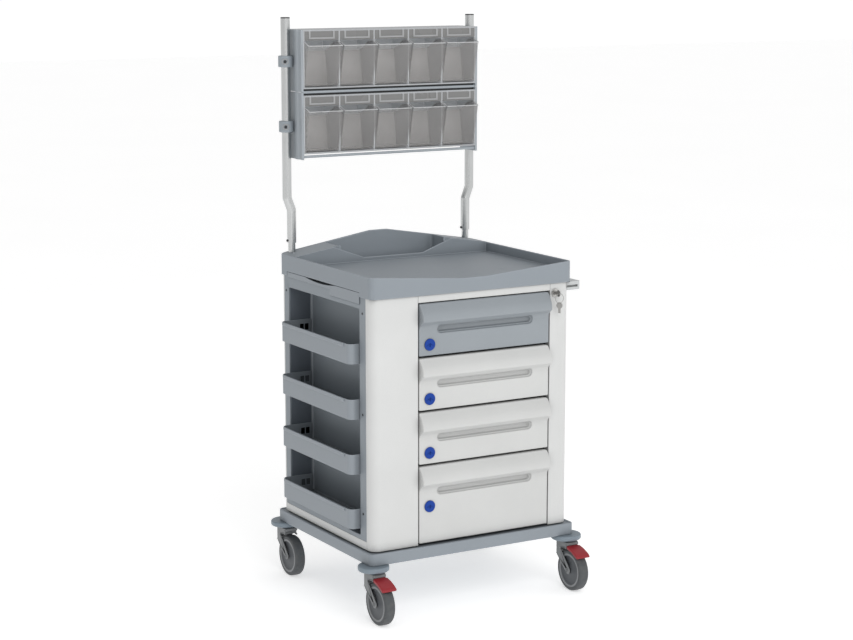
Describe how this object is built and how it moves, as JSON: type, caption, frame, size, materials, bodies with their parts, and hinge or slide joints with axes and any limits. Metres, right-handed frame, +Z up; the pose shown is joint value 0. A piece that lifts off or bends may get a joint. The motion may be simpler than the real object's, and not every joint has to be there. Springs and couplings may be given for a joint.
{
  "type": "medication cart",
  "caption": "Hospital medication cart on swivel casters: lockable drawers, side bins, pull-out shelf, rimmed worktop and a post-mounted rack of clear tilting bins.",
  "frame": {"origin": "middle of the footprint on the floor", "axes": "+X to the cart's right, seen from the drawers' side; -Y towards the drawers' side; +Z up"},
  "size_m": [0.76, 0.7174, 1.718],
  "materials": {
    "base_grey": "satin moulded grey",
    "side_grey": "satin moulded grey",
    "bin_grey": "satin moulded grey",
    "drawer_grey": "satin moulded grey",
    "drawer_white": "satin moulded off-white",
    "panel_white": "powder-coated off-white sheet",
    "column_white": "satin off-white",
    "carcass_steel": "dark-painted sheet",
    "box_plastic": "moulded light grey",
    "chrome_tube": "polished chrome tube",
    "rack_plastic": "moulded grey",
    "rack_paint": "grey-painted folded sheet and chrome rails",
    "clear_smoke": "clear smoke-tinted",
    "clamp_plastic": "blue-grey moulded",
    "bumper_plastic": "blue-grey moulded",
    "handle_white": "light grey moulded",
    "disc_blue": "saturated blue",
    "black_plastic": "black moulded",
    "lock_nickel": "nickel-plated",
    "key_nickel": "nickel-plated",
    "fork_grey": "light grey moulded",
    "wheel_rubber": "dark grey thermoplastic rubber",
    "pedal_red": "red moulded"
  },
  "bodies": {
    "cart": {"base_chassis": "base_grey", "corner_bumpers": "bumper_plastic", "inner_carcass": "carcass_steel", "rear_panel": "panel_white", "right_panel": "panel_white", "front_column_left": "column_white", "front_column_right": "column_white", "front_top_rail": "column_white", "side_frame": "side_grey", "side_tub": "side_grey", "side_sill": "panel_white", "worktop": "base_grey", "rack_posts": "chrome_tube", "screws_and_plugs": "black_plastic", "rack_frame": "rack_paint", "bin_housing_upper": "rack_plastic", "bin_housing_lower": "rack_plastic", "post_clamps": "clamp_plastic", "push_handle": "handle_white", "lock_cylinder": "lock_nickel", "drawer_runners": "carcass_steel"},
    "drawer_1": {"drawer_front_1": "drawer_grey", "drawer_box_1": "box_plastic", "drawer_lock_1": "disc_blue"},
    "side_bin_1": {"side_bin_1": "bin_grey"},
    "drawer_2": {"drawer_front_2": "drawer_white", "drawer_box_2": "box_plastic", "drawer_lock_2": "disc_blue"},
    "side_bin_2": {"side_bin_2": "bin_grey"},
    "drawer_3": {"drawer_front_3": "drawer_white", "drawer_box_3": "box_plastic", "drawer_lock_3": "disc_blue"},
    "side_bin_3": {"side_bin_3": "bin_grey"},
    "drawer_4": {"drawer_front_4": "drawer_white", "drawer_box_4": "box_plastic", "drawer_lock_4": "disc_blue"},
    "side_bin_4": {"side_bin_4": "bin_grey"},
    "pullout_shelf": {"pullout_shelf": "bin_grey"},
    "tilt_bin_upper_1": {"tilt_bin_upper_1": "clear_smoke"},
    "tilt_bin_upper_2": {"tilt_bin_upper_2": "clear_smoke"},
    "tilt_bin_upper_3": {"tilt_bin_upper_3": "clear_smoke"},
    "tilt_bin_upper_4": {"tilt_bin_upper_4": "clear_smoke"},
    "tilt_bin_upper_5": {"tilt_bin_upper_5": "clear_smoke"},
    "tilt_bin_lower_1": {"tilt_bin_lower_1": "clear_smoke"},
    "tilt_bin_lower_2": {"tilt_bin_lower_2": "clear_smoke"},
    "tilt_bin_lower_3": {"tilt_bin_lower_3": "clear_smoke"},
    "tilt_bin_lower_4": {"tilt_bin_lower_4": "clear_smoke"},
    "tilt_bin_lower_5": {"tilt_bin_lower_5": "clear_smoke"},
    "caster_fork_front_left": {"caster_fork_front_left": "fork_grey"},
    "wheel_front_left": {"wheel_front_left": "wheel_rubber"},
    "caster_fork_front_right": {"caster_fork_front_right": "fork_grey"},
    "wheel_front_right": {"wheel_front_right": "wheel_rubber"},
    "caster_fork_rear_left": {"caster_fork_rear_left": "fork_grey"},
    "wheel_rear_left": {"wheel_rear_left": "wheel_rubber"},
    "caster_fork_rear_right": {"caster_fork_rear_right": "fork_grey"},
    "wheel_rear_right": {"wheel_rear_right": "wheel_rubber"},
    "brake_pedal_left": {"brake_pedal_left": "pedal_red"},
    "brake_pedal_right": {"brake_pedal_right": "pedal_red"},
    "lock_key": {"lock_key": "key_nickel"},
    "key_ring": {"key_ring": "key_nickel"}
  },
  "joints": [
    {"name": "drawer_1_slide", "type": "slide", "parent": "cart", "child": "drawer_1", "axis": [0, -1, 0], "range_m": [0, 0.4]},
    {"name": "side_bin_1_pull", "type": "slide", "parent": "cart", "child": "side_bin_1", "axis": [-1, 0, 0], "range_m": [0, 0.11]},
    {"name": "drawer_2_slide", "type": "slide", "parent": "cart", "child": "drawer_2", "axis": [0, -1, 0], "range_m": [0, 0.4]},
    {"name": "side_bin_2_pull", "type": "slide", "parent": "cart", "child": "side_bin_2", "axis": [-1, 0, 0], "range_m": [0, 0.11]},
    {"name": "drawer_3_slide", "type": "slide", "parent": "cart", "child": "drawer_3", "axis": [0, -1, 0], "range_m": [0, 0.4]},
    {"name": "side_bin_3_pull", "type": "slide", "parent": "cart", "child": "side_bin_3", "axis": [-1, 0, 0], "range_m": [0, 0.11]},
    {"name": "drawer_4_slide", "type": "slide", "parent": "cart", "child": "drawer_4", "axis": [0, -1, 0], "range_m": [0, 0.4]},
    {"name": "side_bin_4_pull", "type": "slide", "parent": "cart", "child": "side_bin_4", "axis": [-1, 0, 0], "range_m": [0, 0.11]},
    {"name": "shelf_slide", "type": "slide", "parent": "cart", "child": "pullout_shelf", "axis": [-1, 0, 0], "range_m": [0, 0.28]},
    {"name": "tilt_bin_upper_1_tilt", "type": "hinge", "parent": "cart", "child": "tilt_bin_upper_1", "pos_m": [-0.2384, 0.23275, 1.517], "axis": [1, 0, 0], "range_deg": [0, 45]},
    {"name": "tilt_bin_upper_2_tilt", "type": "hinge", "parent": "cart", "child": "tilt_bin_upper_2", "pos_m": [-0.1192, 0.23275, 1.517], "axis": [1, 0, 0], "range_deg": [0, 45]},
    {"name": "tilt_bin_upper_3_tilt", "type": "hinge", "parent": "cart", "child": "tilt_bin_upper_3", "pos_m": [0, 0.23275, 1.517], "axis": [1, 0, 0], "range_deg": [0, 45]},
    {"name": "tilt_bin_upper_4_tilt", "type": "hinge", "parent": "cart", "child": "tilt_bin_upper_4", "pos_m": [0.1192, 0.23275, 1.517], "axis": [1, 0, 0], "range_deg": [0, 45]},
    {"name": "tilt_bin_upper_5_tilt", "type": "hinge", "parent": "cart", "child": "tilt_bin_upper_5", "pos_m": [0.2384, 0.23275, 1.517], "axis": [1, 0, 0], "range_deg": [0, 45]},
    {"name": "tilt_bin_lower_1_tilt", "type": "hinge", "parent": "cart", "child": "tilt_bin_lower_1", "pos_m": [-0.2384, 0.23275, 1.322], "axis": [1, 0, 0], "range_deg": [0, 45]},
    {"name": "tilt_bin_lower_2_tilt", "type": "hinge", "parent": "cart", "child": "tilt_bin_lower_2", "pos_m": [-0.1192, 0.23275, 1.322], "axis": [1, 0, 0], "range_deg": [0, 45]},
    {"name": "tilt_bin_lower_3_tilt", "type": "hinge", "parent": "cart", "child": "tilt_bin_lower_3", "pos_m": [0, 0.23275, 1.322], "axis": [1, 0, 0], "range_deg": [0, 45]},
    {"name": "tilt_bin_lower_4_tilt", "type": "hinge", "parent": "cart", "child": "tilt_bin_lower_4", "pos_m": [0.1192, 0.23275, 1.322], "axis": [1, 0, 0], "range_deg": [0, 45]},
    {"name": "tilt_bin_lower_5_tilt", "type": "hinge", "parent": "cart", "child": "tilt_bin_lower_5", "pos_m": [0.2384, 0.23275, 1.322], "axis": [1, 0, 0], "range_deg": [0, 45]},
    {"name": "swivel_front_left", "type": "hinge", "parent": "cart", "child": "caster_fork_front_left", "pos_m": [-0.334, -0.25525, 0.15], "axis": [0, 0, 1], "continuous": true},
    {"name": "spin_front_left", "type": "hinge", "parent": "caster_fork_front_left", "child": "wheel_front_left", "pos_m": [-0.334, -0.29625, 0.0625], "axis": [1, 0, 0], "continuous": true},
    {"name": "swivel_front_right", "type": "hinge", "parent": "cart", "child": "caster_fork_front_right", "pos_m": [0.334, -0.25525, 0.15], "axis": [0, 0, 1], "continuous": true},
    {"name": "spin_front_right", "type": "hinge", "parent": "caster_fork_front_right", "child": "wheel_front_right", "pos_m": [0.334, -0.29625, 0.0625], "axis": [1, 0, 0], "continuous": true},
    {"name": "swivel_rear_left", "type": "hinge", "parent": "cart", "child": "caster_fork_rear_left", "pos_m": [-0.334, 0.31275, 0.15], "axis": [0, 0, 1], "continuous": true},
    {"name": "spin_rear_left", "type": "hinge", "parent": "caster_fork_rear_left", "child": "wheel_rear_left", "pos_m": [-0.334, 0.27175, 0.0625], "axis": [1, 0, 0], "continuous": true},
    {"name": "swivel_rear_right", "type": "hinge", "parent": "cart", "child": "caster_fork_rear_right", "pos_m": [0.334, 0.31275, 0.15], "axis": [0, 0, 1], "continuous": true},
    {"name": "spin_rear_right", "type": "hinge", "parent": "caster_fork_rear_right", "child": "wheel_rear_right", "pos_m": [0.334, 0.27175, 0.0625], "axis": [1, 0, 0], "continuous": true},
    {"name": "brake_left_release", "type": "hinge", "parent": "caster_fork_front_left", "child": "brake_pedal_left", "pos_m": [-0.334, -0.29325, 0.133], "axis": [-1, 0, 0], "range_deg": [0, 15]},
    {"name": "brake_right_release", "type": "hinge", "parent": "caster_fork_front_right", "child": "brake_pedal_right", "pos_m": [0.334, -0.29325, 0.133], "axis": [-1, 0, 0], "range_deg": [0, 15]},
    {"name": "lock_turn", "type": "hinge", "parent": "cart", "child": "lock_key", "pos_m": [0.284, -0.25625, 0.913], "axis": [0, -1, 0], "range_deg": [0, 90]},
    {"name": "key_ring_swing", "type": "hinge", "parent": "lock_key", "child": "key_ring", "pos_m": [0.284, -0.28125, 0.913], "axis": [1, 0, 0], "range_deg": [-60, 10]}
  ]
}
